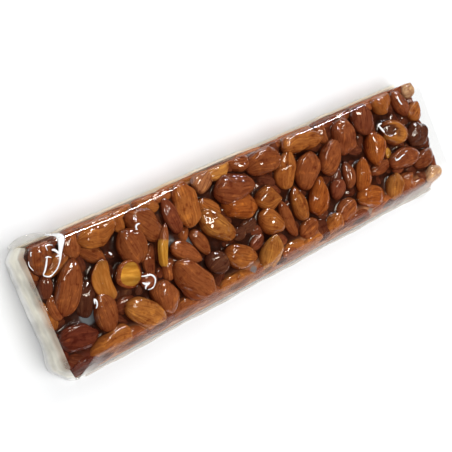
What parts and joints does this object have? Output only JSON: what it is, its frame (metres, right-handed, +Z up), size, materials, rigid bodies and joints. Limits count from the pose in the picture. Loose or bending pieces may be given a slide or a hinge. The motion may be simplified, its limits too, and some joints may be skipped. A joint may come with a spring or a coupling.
{
  "type": "almond nougat bar",
  "caption": "Long bar of whole almonds set in dark glossy caramel on a thin wafer, sealed in clear film with folded ends.",
  "frame": {"origin": "centre of the bottom of the bounding box, on the surface the bar lies on", "axes": "+X along the bar towards the end that is farther away in the usual view, +Y across it towards the steep long side, +Z up"},
  "size_m": [0.2524, 0.0672, 0.018],
  "materials": {
    "caramel_nuts": "glossy dark caramel over brown skin-on almonds",
    "wafer": "matte cream wafer sheet",
    "clear_film": "thin clear glossy plastic film",
    "folded_film": "milky where several layers of clear film are folded together"
  },
  "bodies": {
    "root": {"nougat": "caramel_nuts", "wafer": "wafer", "film_tube": "clear_film", "film_end_right": "folded_film", "film_end_left": "folded_film"}
  },
  "joints": []
}
